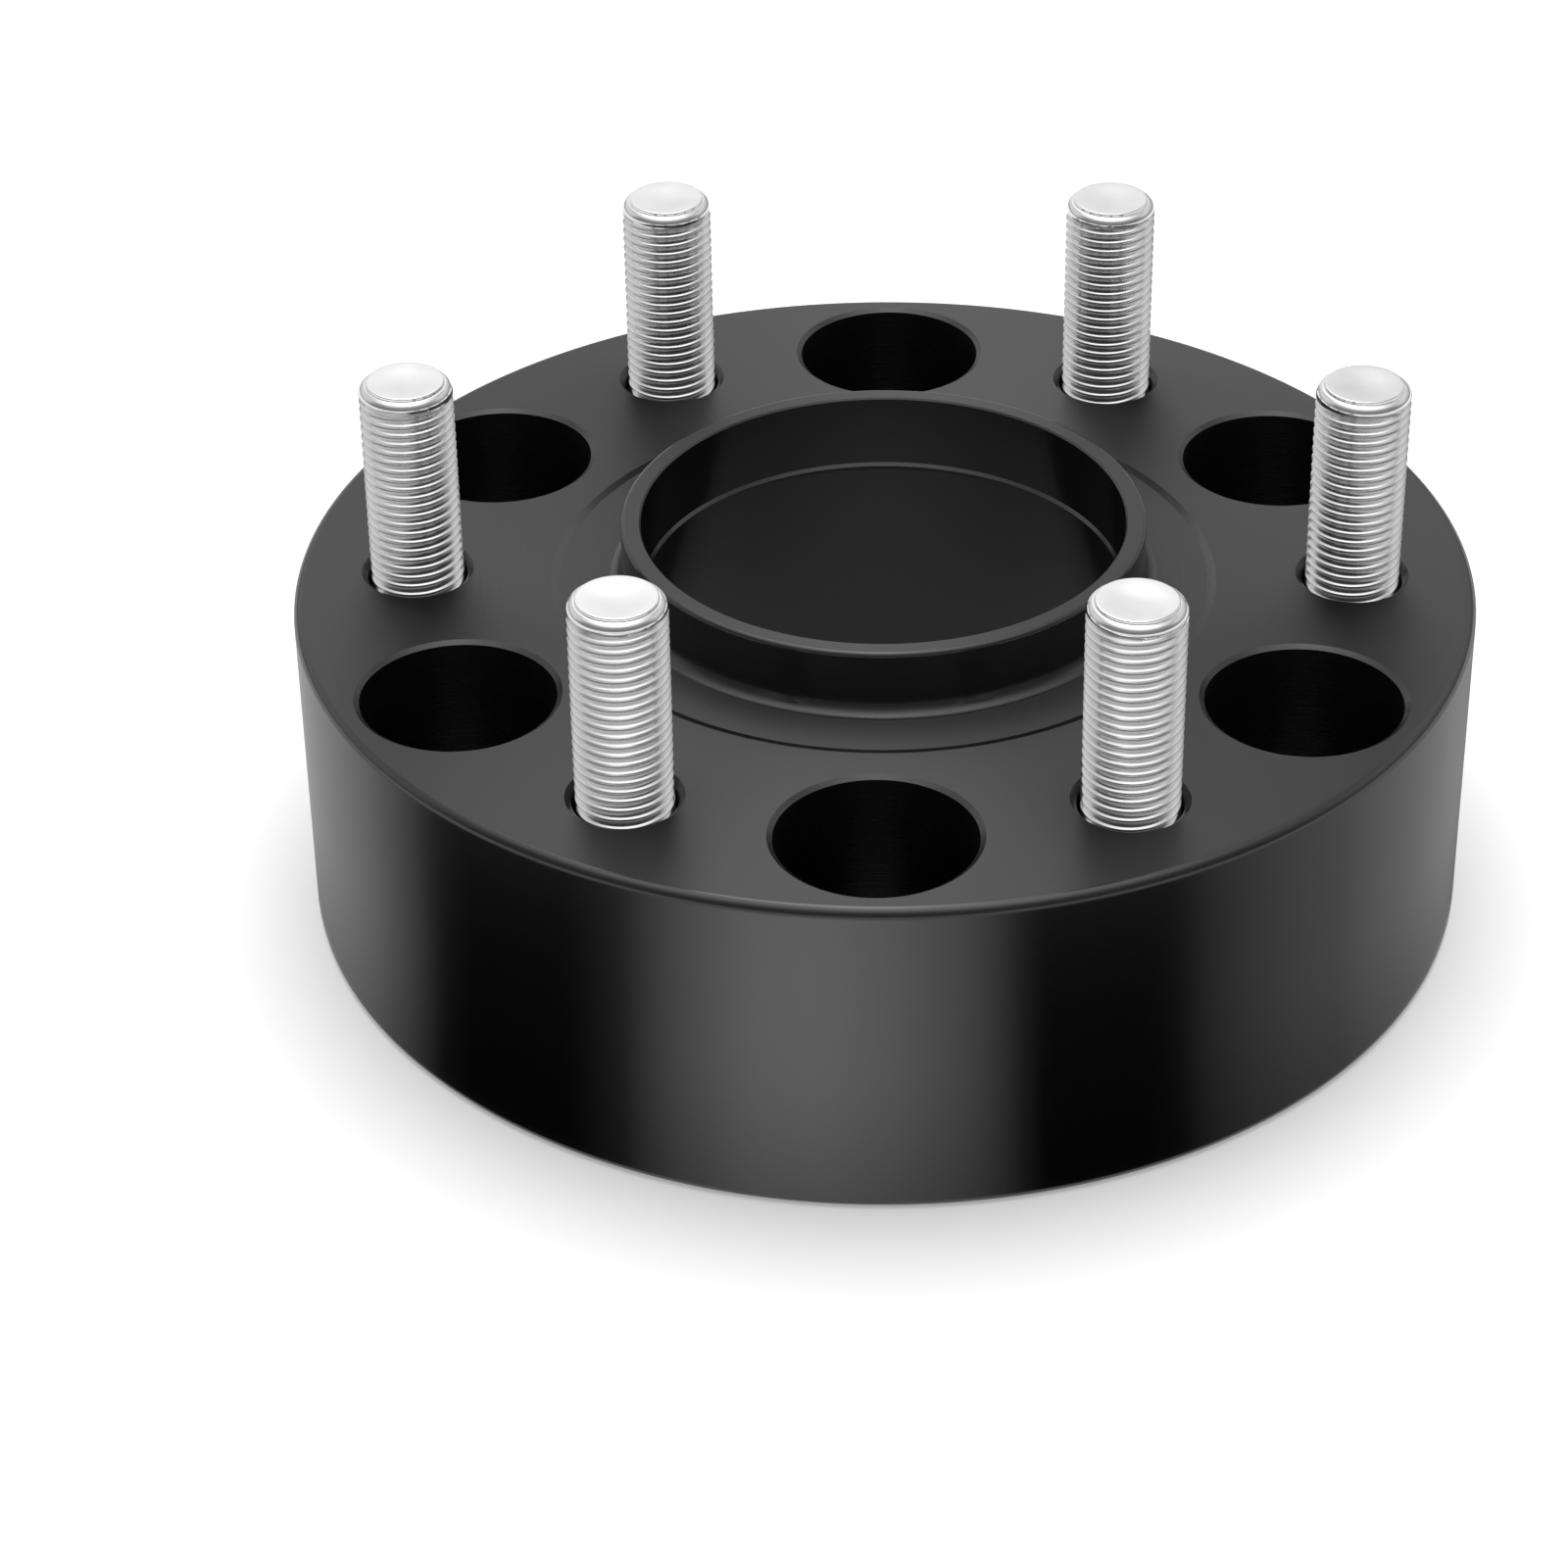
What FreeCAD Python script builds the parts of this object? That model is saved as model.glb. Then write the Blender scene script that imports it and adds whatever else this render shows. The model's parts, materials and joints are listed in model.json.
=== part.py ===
import FreeCAD, Part
import math
import os

# Wheel spacer, 2 inches thick, for a hub and a wheel with six bolts on a 139.7 mm circle.
# Millimetres. The origin is at the centre of the hub bore in the back face, +Z points
# away from the hub, and the front face, which the wheel meets, is at body_thickness.

# Body
body_thickness = 50.8
edge_chamfer = 1.0
outer_wall = 3.9

# Bolt circle, shared by the nut pockets and the wheel studs
pitch_circle_diameter = 139.7
bolt_count = 6
first_pocket_angle = -90.0

# Hub bore from the back, and the lip that centres the wheel
hub_bore_diameter = 78.1
hub_bore_lead_in = 1.5
pilot_clearance = 0.05
pilot_height = 9.7
pilot_wall = 3.0
pilot_edge_chamfer = 0.5
shoulder_cover = 1.7

# Shallow turned relief round the foot of the lip
relief_width = 10.6
relief_depth = 0.25
relief_ramp = 1.2
pilot_root_chamfer = 1.4

# Nut pockets, where the spacer is fastened to the hub's own studs
bolt_hole_diameter = 15.5
nut_seat_width = 3.0
nut_seat_angle = 60.0
nut_floor_height = 17.8
socket_room = 3.5
pocket_chamfer_width = 0.75
pocket_chamfer_depth = 0.5

# Wheel studs, pressed in from the back: head, plain shank and threaded end
thread_diameter = 14.0
stud_protrusion = 32.0
stud_tip_chamfer = 1.0
stud_shank_diameter = 15.0
stud_seat_depth = 20.0
stud_head_overhang = 2.9
stud_head_thickness = 4.5

# Stud holes
stud_hole_chamfer = 0.9
head_pocket_clearance = 0.6

# Radii and heights that follow from the sizes above
pitch_radius = pitch_circle_diameter / 2
bolt_hole_radius = bolt_hole_diameter / 2
nut_seat_radius = bolt_hole_radius + nut_seat_width
nut_pocket_radius = nut_seat_radius + socket_room
body_radius = pitch_radius + nut_pocket_radius + outer_wall
hub_bore_radius = hub_bore_diameter / 2
pilot_radius = hub_bore_radius - pilot_clearance
lip_bore_radius = pilot_radius - pilot_wall
relief_radius = pilot_radius + relief_width
relief_floor = body_thickness - relief_depth
pilot_top = body_thickness + pilot_height
shoulder_top = body_thickness - shoulder_cover
shoulder_bottom = shoulder_top - (hub_bore_radius - lip_bore_radius)
thread_radius = thread_diameter / 2
stud_shank_radius = stud_shank_diameter / 2
stud_seat_height = body_thickness - stud_seat_depth
stud_head_radius = stud_shank_radius + stud_head_overhang
head_pocket_radius = stud_head_radius + head_pocket_clearance
stud_top = body_thickness + stud_protrusion
pattern_step = 360.0 / bolt_count

up = FreeCAD.Vector(0, 0, 1)
centre = FreeCAD.Vector(0, 0, 0)


def at(radius, height):
    """A point of a half section, in the XZ plane."""
    return FreeCAD.Vector(radius, 0, height)


def turned(corners):
    """The solid that a closed half section, given by its corners, sweeps round the Z axis."""
    points = [at(radius, height) for radius, height in corners]
    section = Part.Face(Part.makePolygon(points + [points[0]]))
    return section.revolve(centre, up, 360)


def cylinder(radius, bottom, top):
    return Part.makeCylinder(radius, top - bottom, at(0, bottom), up)


def cone(bottom_radius, top_radius, bottom, top):
    return Part.makeCone(bottom_radius, top_radius, top - bottom, at(0, bottom), up)


def moved(shape, angle):
    """The shape carried out to the bolt circle, at an angle about the Z axis."""
    copy = shape.copy()
    copy.translate(at(pitch_radius, 0))
    copy.rotate(centre, up, angle)
    return copy


def body_blank():
    """The turned body with its lip, before any hole of the bolt circle is cut."""
    back = [
        (hub_bore_radius + hub_bore_lead_in, 0),
        (body_radius - edge_chamfer, 0),
    ]
    wall = [
        (body_radius, edge_chamfer),
        (body_radius, body_thickness - edge_chamfer),
    ]
    front = [
        (body_radius - edge_chamfer, body_thickness),
        (relief_radius, body_thickness),
        (relief_radius - relief_ramp, relief_floor),
    ]
    lip = [
        (pilot_radius + pilot_root_chamfer, relief_floor),
        (pilot_radius, relief_floor + pilot_root_chamfer),
        (pilot_radius, pilot_top - pilot_edge_chamfer),
        (pilot_radius - pilot_edge_chamfer, pilot_top),
        (lip_bore_radius, pilot_top),
    ]
    bore = [
        (lip_bore_radius, shoulder_top),
        (hub_bore_radius, shoulder_bottom),
        (hub_bore_radius, hub_bore_lead_in),
    ]
    return turned(back + wall + front + lip + bore)


def nut_pocket_cutter():
    """The space of one pocket: socket bore, conical nut seat and bolt hole."""
    seat_depth = nut_seat_width / math.tan(math.radians(nut_seat_angle / 2))
    seat_foot = nut_floor_height - seat_depth
    mouth = body_thickness - pocket_chamfer_depth
    space = cylinder(nut_pocket_radius, nut_floor_height, body_thickness)
    space = space.fuse(cone(nut_pocket_radius, nut_pocket_radius + pocket_chamfer_width, mouth, body_thickness))
    space = space.fuse(cone(bolt_hole_radius, nut_seat_radius, seat_foot, nut_floor_height))
    space = space.fuse(cylinder(bolt_hole_radius, 0, seat_foot))
    return space.removeSplitter()


def stud_hole_cutter():
    """The space of one stud: the head's pocket from the back and the hole to the front."""
    mouth = body_thickness - stud_hole_chamfer
    space = cylinder(head_pocket_radius, 0, stud_seat_height)
    space = space.fuse(cylinder(stud_shank_radius, stud_seat_height, body_thickness))
    space = space.fuse(cone(stud_shank_radius, stud_shank_radius + stud_hole_chamfer, mouth, body_thickness))
    return space.removeSplitter()


def spacer_body():
    pocket = nut_pocket_cutter()
    stud_hole = stud_hole_cutter()
    cutters = []
    for index in range(bolt_count):
        pocket_angle = first_pocket_angle + index * pattern_step
        cutters.append(moved(pocket, pocket_angle))
        cutters.append(moved(stud_hole, pocket_angle + pattern_step / 2))
    return body_blank().cut(cutters)


def wheel_stud():
    """One stud. Its shank fills the hole, and the thread, at its full diameter, starts at the front face."""
    head_foot = stud_seat_height - stud_head_thickness
    shank_end = body_thickness - (stud_shank_radius - thread_radius)
    return turned([
        (0, head_foot),
        (stud_head_radius, head_foot),
        (stud_head_radius, stud_seat_height),
        (stud_shank_radius, stud_seat_height),
        (stud_shank_radius, shank_end),
        (thread_radius, body_thickness),
        (thread_radius, stud_top - stud_tip_chamfer),
        (thread_radius - stud_tip_chamfer, stud_top),
        (0, stud_top),
    ])


def main():
    os.makedirs("parts", exist_ok=True)
    spacer_body().exportStep("parts/spacer_body.step")
    stud = wheel_stud()
    for index in range(bolt_count):
        stud_angle = first_pocket_angle + (index + 0.5) * pattern_step
        moved(stud, stud_angle).exportStep("parts/wheel_stud_%d.step" % (index + 1))


main()
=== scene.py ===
import json
import math

import bmesh
import bpy
from mathutils import Matrix, Vector


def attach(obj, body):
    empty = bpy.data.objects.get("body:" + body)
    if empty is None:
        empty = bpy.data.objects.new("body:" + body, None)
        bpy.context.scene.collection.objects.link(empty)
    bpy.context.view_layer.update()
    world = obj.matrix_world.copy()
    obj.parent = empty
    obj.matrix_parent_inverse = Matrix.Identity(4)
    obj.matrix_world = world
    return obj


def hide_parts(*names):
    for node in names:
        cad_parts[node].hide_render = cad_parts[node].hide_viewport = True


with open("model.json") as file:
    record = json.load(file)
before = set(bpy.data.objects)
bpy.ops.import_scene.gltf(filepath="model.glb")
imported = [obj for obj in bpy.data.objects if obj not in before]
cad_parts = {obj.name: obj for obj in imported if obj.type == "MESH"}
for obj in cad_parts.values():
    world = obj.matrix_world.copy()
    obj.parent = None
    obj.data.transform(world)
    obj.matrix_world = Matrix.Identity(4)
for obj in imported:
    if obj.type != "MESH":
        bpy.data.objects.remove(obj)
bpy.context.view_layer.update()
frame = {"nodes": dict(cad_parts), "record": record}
mounts = {mount["name"]: mount for mount in frame["record"]["mounts"]}
scene = bpy.context.scene
mm = 0.001
mergeDistance = 0.002 * mm
print("frame loaded with", len(frame["nodes"]), "nodes")


# Node and colour helpers

def addNode(tree, kind, settings=None, inputs=None):
    # Adds one node, sets it up, and links or fills its inputs
    node = tree.nodes.new(kind)
    for name, value in (settings or {}).items():
        setattr(node, name, value)
    for key, value in (inputs or {}).items():
        if isinstance(value, bpy.types.Node):
            tree.links.new(value.outputs[0], node.inputs[key])
        elif isinstance(value, bpy.types.NodeSocket):
            tree.links.new(value, node.inputs[key])
        else:
            node.inputs[key].default_value = value
    return node


def linearColour(hexText):
    # sRGB hex to the linear values that the shaders use
    channels = [int(hexText[start:start + 2], 16) / 255 for start in (1, 3, 5)]
    return [c / 12.92 if c <= 0.04045 else ((c + 0.055) / 1.055) ** 2.4 for c in channels] + [1.0]


def newMaterial(name):
    material = bpy.data.materials.new(name)
    material.use_nodes = True
    material.node_tree.nodes.clear()
    return material, material.node_tree


def newTree(name, sockets):
    # A Geometry Nodes tree with a mesh in, a mesh out and the named inputs
    tree = bpy.data.node_groups.new(name, "GeometryNodeTree")
    tree.interface.new_socket("Geometry", in_out="OUTPUT", socket_type="NodeSocketGeometry")
    tree.interface.new_socket("Geometry", in_out="INPUT", socket_type="NodeSocketGeometry")
    for socketName, kind in sockets:
        tree.interface.new_socket(socketName, in_out="INPUT", socket_type="NodeSocket" + kind)
    return tree, tree.nodes.new("NodeGroupInput"), tree.nodes.new("NodeGroupOutput")


def closeTree(tree, groupInput, groupOutput, geometry):
    # Every tree ends in plain geometry with its material
    real = addNode(tree, "GeometryNodeRealizeInstances", None, {"Geometry": geometry})
    painted = addNode(tree, "GeometryNodeSetMaterial", None, {
        "Geometry": real, "Material": groupInput.outputs["Material"]})
    tree.links.new(painted.outputs[0], groupOutput.inputs[0])


def runTree(name, mesh, tree, values):
    # Runs a tree on a mesh and gives the result as a plain mesh
    holder = bpy.data.objects.new(name, mesh)
    scene.collection.objects.link(holder)
    modifier = holder.modifiers.new(name, "NODES")
    modifier.node_group = tree
    for item in tree.interface.items_tree:
        if item.in_out == "INPUT" and item.name in values:
            modifier[item.identifier] = values[item.name]
    graph = bpy.context.evaluated_depsgraph_get()
    made = bpy.data.meshes.new_from_object(
        holder.evaluated_get(graph), preserve_all_data_layers=True, depsgraph=graph)
    bpy.data.objects.remove(holder)
    made.name = name
    return made


# Node trees for turned pieces, for the thread and for the bolt circle

def addSectionGrid(tree, section, columns, rows, points):
    # A grid in which each column takes the section's points, row by row, and starts them again where there
    # are more rows than points. Gives the grid, each vertex's column and the parts of its point.
    grid = addNode(tree, "GeometryNodeMeshGrid", None, {"Vertices X": columns, "Vertices Y": rows})
    index = addNode(tree, "GeometryNodeInputIndex")
    filled = addNode(tree, "ShaderNodeMath", {"operation": "DIVIDE"}, {0: index, 1: rows})
    column = addNode(tree, "ShaderNodeMath", {"operation": "FLOOR"}, {0: filled})
    row = addNode(tree, "ShaderNodeMath", {"operation": "FLOORED_MODULO"}, {0: index, 1: rows})
    point = addNode(tree, "ShaderNodeMath", {"operation": "FLOORED_MODULO"}, {0: row, 1: points})
    place = addNode(tree, "GeometryNodeInputPosition")
    corner = addNode(tree, "GeometryNodeSampleIndex", {"data_type": "FLOAT_VECTOR"}, {
        "Geometry": section, "Value": place, "Index": point})
    return grid, column, addNode(tree, "ShaderNodeSeparateXYZ", None, {0: corner})


def sweepGrid(tree, grid, radius, height, turn):
    # Carries each vertex out to its radius and height, turns it about the Z axis, and joins what meets
    angle = addNode(tree, "ShaderNodeMath", {"operation": "MULTIPLY"}, {0: turn, 1: math.tau})
    flat = addNode(tree, "ShaderNodeCombineXYZ", None, {"X": radius, "Z": height})
    swept = addNode(tree, "ShaderNodeVectorRotate", {"rotation_type": "Z_AXIS"}, {
        "Vector": flat, "Angle": angle})
    moved = addNode(tree, "GeometryNodeSetPosition", None, {"Geometry": grid, "Position": swept})
    return addNode(tree, "GeometryNodeMergeByDistance", None, {"Geometry": moved, "Distance": mergeDistance})


def buildTurningTree():
    # Turns a section, open or closed, in as many segments as are given. Every second column is drawn in by
    # the depth that a point carries as its Y, which makes the ridges of a knurl.
    tree, groupInput, groupOutput = newTree("turned section", [
        ("Segments", "Int"), ("Closed", "Int"), ("Material", "Material")])
    given = groupInput.outputs
    size = addNode(tree, "GeometryNodeAttributeDomainSize", None, {"Geometry": given["Geometry"]})
    points = size.outputs["Point Count"]
    rows = addNode(tree, "ShaderNodeMath", {"operation": "ADD"}, {0: points, 1: given["Closed"]})
    columns = addNode(tree, "ShaderNodeMath", {"operation": "ADD"}, {0: given["Segments"], 1: 1.0})
    grid, column, parts = addSectionGrid(tree, given["Geometry"], columns, rows, points)
    odd = addNode(tree, "ShaderNodeMath", {"operation": "FLOORED_MODULO"}, {0: column, 1: 2.0})
    ridge = addNode(tree, "ShaderNodeMath", {"operation": "MULTIPLY"}, {0: odd, 1: parts.outputs["Y"]})
    radius = addNode(tree, "ShaderNodeMath", {"operation": "SUBTRACT"}, {0: parts.outputs["X"], 1: ridge})
    turn = addNode(tree, "ShaderNodeMath", {"operation": "DIVIDE"}, {0: column, 1: given["Segments"]})
    closeTree(tree, groupInput, groupOutput, sweepGrid(tree, grid, radius, parts.outputs["Z"], turn))
    return tree


def buildThreadTree():
    # One pitch of the thread's section climbs round the axis. Above and below its run the rows gather on a
    # plain ring, and the groove grows out of that ring over the fade. Near its end the thread is cut by the
    # rounded shoulder of the tip.
    tree, groupInput, groupOutput = newTree("rolled thread", [
        ("Columns", "Int"), ("Segments", "Int"), ("Pitch", "Float"), ("Crest Radius", "Float"),
        ("Foot", "Float"), ("End", "Float"), ("Fade", "Float"), ("Shoulder Foot", "Float"),
        ("Shoulder Top", "Float"), ("Shoulder Radius", "Float"), ("Material", "Material")])
    given = groupInput.outputs
    size = addNode(tree, "GeometryNodeAttributeDomainSize", None, {"Geometry": given["Geometry"]})
    rows = size.outputs["Point Count"]
    grid, column, parts = addSectionGrid(tree, given["Geometry"], given["Columns"], rows, rows)
    # Height: one pitch for every turn, held between the foot and the end
    turn = addNode(tree, "ShaderNodeMath", {"operation": "DIVIDE"}, {0: column, 1: given["Segments"]})
    start = addNode(tree, "ShaderNodeMath", {"operation": "SUBTRACT"}, {0: given["Foot"], 1: given["Pitch"]})
    climb = addNode(tree, "ShaderNodeMath", {"operation": "MULTIPLY_ADD"}, {
        0: turn, 1: given["Pitch"], 2: start})
    raised = addNode(tree, "ShaderNodeMath", {"operation": "ADD"}, {0: climb, 1: parts.outputs["Z"]})
    height = addNode(tree, "ShaderNodeClamp", None, {
        "Value": raised, "Min": given["Foot"], "Max": given["End"]})
    # Radius: the groove at its full depth between the fades, and nowhere outside the shoulder
    fadeTop = addNode(tree, "ShaderNodeMath", {"operation": "ADD"}, {0: given["Foot"], 1: given["Fade"]})
    fadeFoot = addNode(tree, "ShaderNodeMath", {"operation": "SUBTRACT"}, {0: given["End"], 1: given["Fade"]})
    grow = addNode(tree, "ShaderNodeMapRange", {"interpolation_type": "SMOOTHSTEP"}, {
        "Value": height, "From Min": given["Foot"], "From Max": fadeTop})
    shrink = addNode(tree, "ShaderNodeMapRange", {"interpolation_type": "SMOOTHSTEP"}, {
        "Value": height, "From Min": fadeFoot, "From Max": given["End"], "To Min": 1.0, "To Max": 0.0})
    full = addNode(tree, "ShaderNodeMath", {"operation": "MULTIPLY"}, {0: grow, 1: shrink})
    grooved = addNode(tree, "ShaderNodeMix", {"data_type": "FLOAT"}, {
        0: full, 2: given["Crest Radius"], 3: parts.outputs["X"]})
    rise = addNode(tree, "ShaderNodeMapRange", None, {
        "Value": height, "From Min": given["Shoulder Foot"], "From Max": given["Shoulder Top"]})
    lean = addNode(tree, "ShaderNodeMath", {"operation": "ARCSINE"}, {0: rise})
    width = addNode(tree, "ShaderNodeMath", {"operation": "COSINE"}, {0: lean})
    shoulder = addNode(tree, "ShaderNodeMix", {"data_type": "FLOAT"}, {
        0: width, 2: given["Shoulder Radius"], 3: given["Crest Radius"]})
    radius = addNode(tree, "ShaderNodeMath", {"operation": "MINIMUM"}, {0: grooved, 1: shoulder})
    closeTree(tree, groupInput, groupOutput, sweepGrid(tree, grid, radius, height, turn))
    return tree


def buildBoltCircleTree():
    # Instances of both cutters on the bolt circle, taken out of the turned blank
    tree, groupInput, groupOutput = newTree("bolt circle cuts", [
        ("Pocket", "Object"), ("Stud Hole", "Object"), ("Count", "Int"), ("Pitch Radius", "Float"),
        ("First Angle", "Float"), ("Material", "Material")])
    given = groupInput.outputs
    step = addNode(tree, "ShaderNodeMath", {"operation": "DIVIDE"}, {0: math.tau, 1: given["Count"]})
    cut = addNode(tree, "GeometryNodeMeshBoolean", {"operation": "DIFFERENCE", "solver": "MANIFOLD"}, {
        0: given["Geometry"]})
    for name, share in (("Pocket", 0.0), ("Stud Hole", 0.5)):
        ring = addNode(tree, "GeometryNodeMeshCircle", None, {
            "Vertices": given["Count"], "Radius": given["Pitch Radius"]})
        shape = addNode(tree, "GeometryNodeObjectInfo", None, {"Object": given[name]})
        placed = addNode(tree, "GeometryNodeInstanceOnPoints", None, {
            "Points": ring, "Instance": shape.outputs["Geometry"]})
        start = addNode(tree, "ShaderNodeMath", {"operation": "MULTIPLY_ADD"}, {
            0: step, 1: share, 2: given["First Angle"]})
        spin = addNode(tree, "ShaderNodeCombineXYZ", None, {"Z": start})
        turnedRing = addNode(tree, "GeometryNodeTransform", None, {"Geometry": placed, "Rotation": spin})
        real = addNode(tree, "GeometryNodeRealizeInstances", None, {"Geometry": turnedRing})
        tree.links.new(real.outputs[0], cut.inputs[1])
    closeTree(tree, groupInput, groupOutput, cut)
    return tree


turningTree = buildTurningTree()
threadTree = buildThreadTree()
boltCircleTree = buildBoltCircleTree()
print("node trees built")


# Mesh helpers

def roundedSection(corners, steps=12, guard=0.12):
    # corners are (radius, height, round); each round becomes an arc with a guard point on either side,
    # so that smooth shading leaves the flats flat
    points = []
    for index, (radius, height, rounding) in enumerate(corners):
        here = Vector((radius, height))
        if rounding == 0:
            points.append(here)
            continue
        before = (Vector(corners[index - 1][:2]) - here).normalized()
        after = (Vector(corners[(index + 1) % len(corners)][:2]) - here).normalized()
        halfAngle = before.angle(after) / 2
        reach = rounding / math.tan(halfAngle)
        middle = here + (before + after).normalized() * rounding / math.sin(halfAngle)
        start, end = here + before * reach - middle, here + after * reach - middle
        turn = start.angle_signed(end)
        points.append(here + before * (reach + guard))
        for step in range(steps + 1):
            angle = -turn * step / steps
            points.append(middle + Vector((start.x * math.cos(angle) - start.y * math.sin(angle),
                                           start.x * math.sin(angle) + start.y * math.cos(angle))))
        points.append(here + after * (reach + guard))
    return points


def sectionMesh(name, points):
    # points are (radius, height), or (radius, height, depth of the ridges there)
    mesh = bpy.data.meshes.new(name)
    depths = [point[2] if len(point) > 2 else 0 for point in points]
    verts = [(point[0] * mm, depth * mm, point[1] * mm) for point, depth in zip(points, depths)]
    mesh.from_pydata(verts, [], [])
    return mesh


def turned(name, points, material, segments, closed=1):
    # A turned mesh of one section; closed joins its last point to its first
    return runTree(name, sectionMesh(name + " section", points), turningTree, {
        "Segments": segments, "Closed": closed, "Material": material})


def finishMesh(mesh, sharpAngle):
    # Closes the seams, points the faces outwards, and marks the edges that a tool has left sharp
    work = bmesh.new()
    work.from_mesh(mesh)
    bmesh.ops.remove_doubles(work, verts=work.verts, dist=mergeDistance)
    loose = [edge for edge in work.edges if not edge.link_faces]
    bmesh.ops.delete(work, geom=loose, context="EDGES")
    bmesh.ops.recalc_face_normals(work, faces=work.faces)
    for face in work.faces:
        face.smooth = True
    for edge in work.edges:
        edge.smooth = edge.is_manifold and edge.calc_face_angle(0.0) < math.radians(sharpAngle)
    openEdges = sum(1 for edge in work.edges if not edge.is_manifold)
    work.to_mesh(mesh)
    work.free()
    print(mesh.name, len(mesh.polygons), "faces,", openEdges, "open edges")


def placePiece(name, mesh, node):
    piece = bpy.data.objects.new(name, mesh)
    scene.collection.objects.link(piece)
    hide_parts(node)
    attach(piece, "root")


# Spacer body. Sizes in millimetres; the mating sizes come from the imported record.
bodySizes = {
    "radius": 87.97,
    "thickness": mounts["front_face"]["pos_m"][2] / mm,
    "edgeRound": 1.5,
    "hubBoreRadius": mounts["hub_bore"]["dims"]["r_mm"],
    "hubBoreLeadIn": 1.5,
    "pilotRadius": mounts["wheel_pilot"]["dims"]["r_mm"],
    "pilotWall": 3.0,
    "pilotHeight": 9.7,
    "pilotEdgeRound": 0.7,
    "pilotInnerChamfer": 0.25,
    "pilotRootRound": 2.3,
    "shoulderBevel": 0.45,
    "shoulderCover": 1.7,
    "reliefWidth": 10.6,
    "reliefRamp": 1.2,
    "reliefDepth": 0.25,
    "turnSegments": 360,
    "sharpAngle": 9.5,
    # The pockets for the hub's nuts and the holes for the studs, both on the bolt circle
    "pitchRadius": mounts["hub_bolts"]["dims"]["pcd_mm"] / 2,
    "count": mounts["hub_bolts"]["dims"]["count"],
    "firstPocketAngle": -90.0,
    "pocketRadius": 14.25,
    "pocketFloor": 17.8,
    "pocketChamferWidth": 0.75,
    "pocketChamferDepth": 0.5,
    "seatWidth": 3.0,
    "seatAngle": 60.0,
    "boltHoleRadius": mounts["hub_bolts"]["dims"]["hole_r_mm"],
    "boltHoleChamfer": 0.7,
    "studHoleRadius": 7.5,
    "studHoleChamfer": 0.9,
    "studSeat": 30.8,
    "headPocketRadius": 11.0,
    "headPocketChamfer": 0.7,
    "holeSegments": 128,
}

anodisedLook = {
    "dye": "#030304",
    "paleDye": "#050506",
    "cloudSize": 25.0,
    "faceRoughness": 0.5,
    "wallRoughness": 0.2,
    "boredRoughness": 0.28,
    "ringRoughness": 0.015,
    "ior": 1.76,
    "anisotropy": 0.8,
    "feed": 0.45,
    "ringHeight": 0.0004,
    "ringStrength": 0.5,
    # A surface counts as a face where its normal's Z is over this, and as bored between these two radii
    "faceLevel": 0.982,
    "bored": (50.5, 85.5),
}


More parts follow.
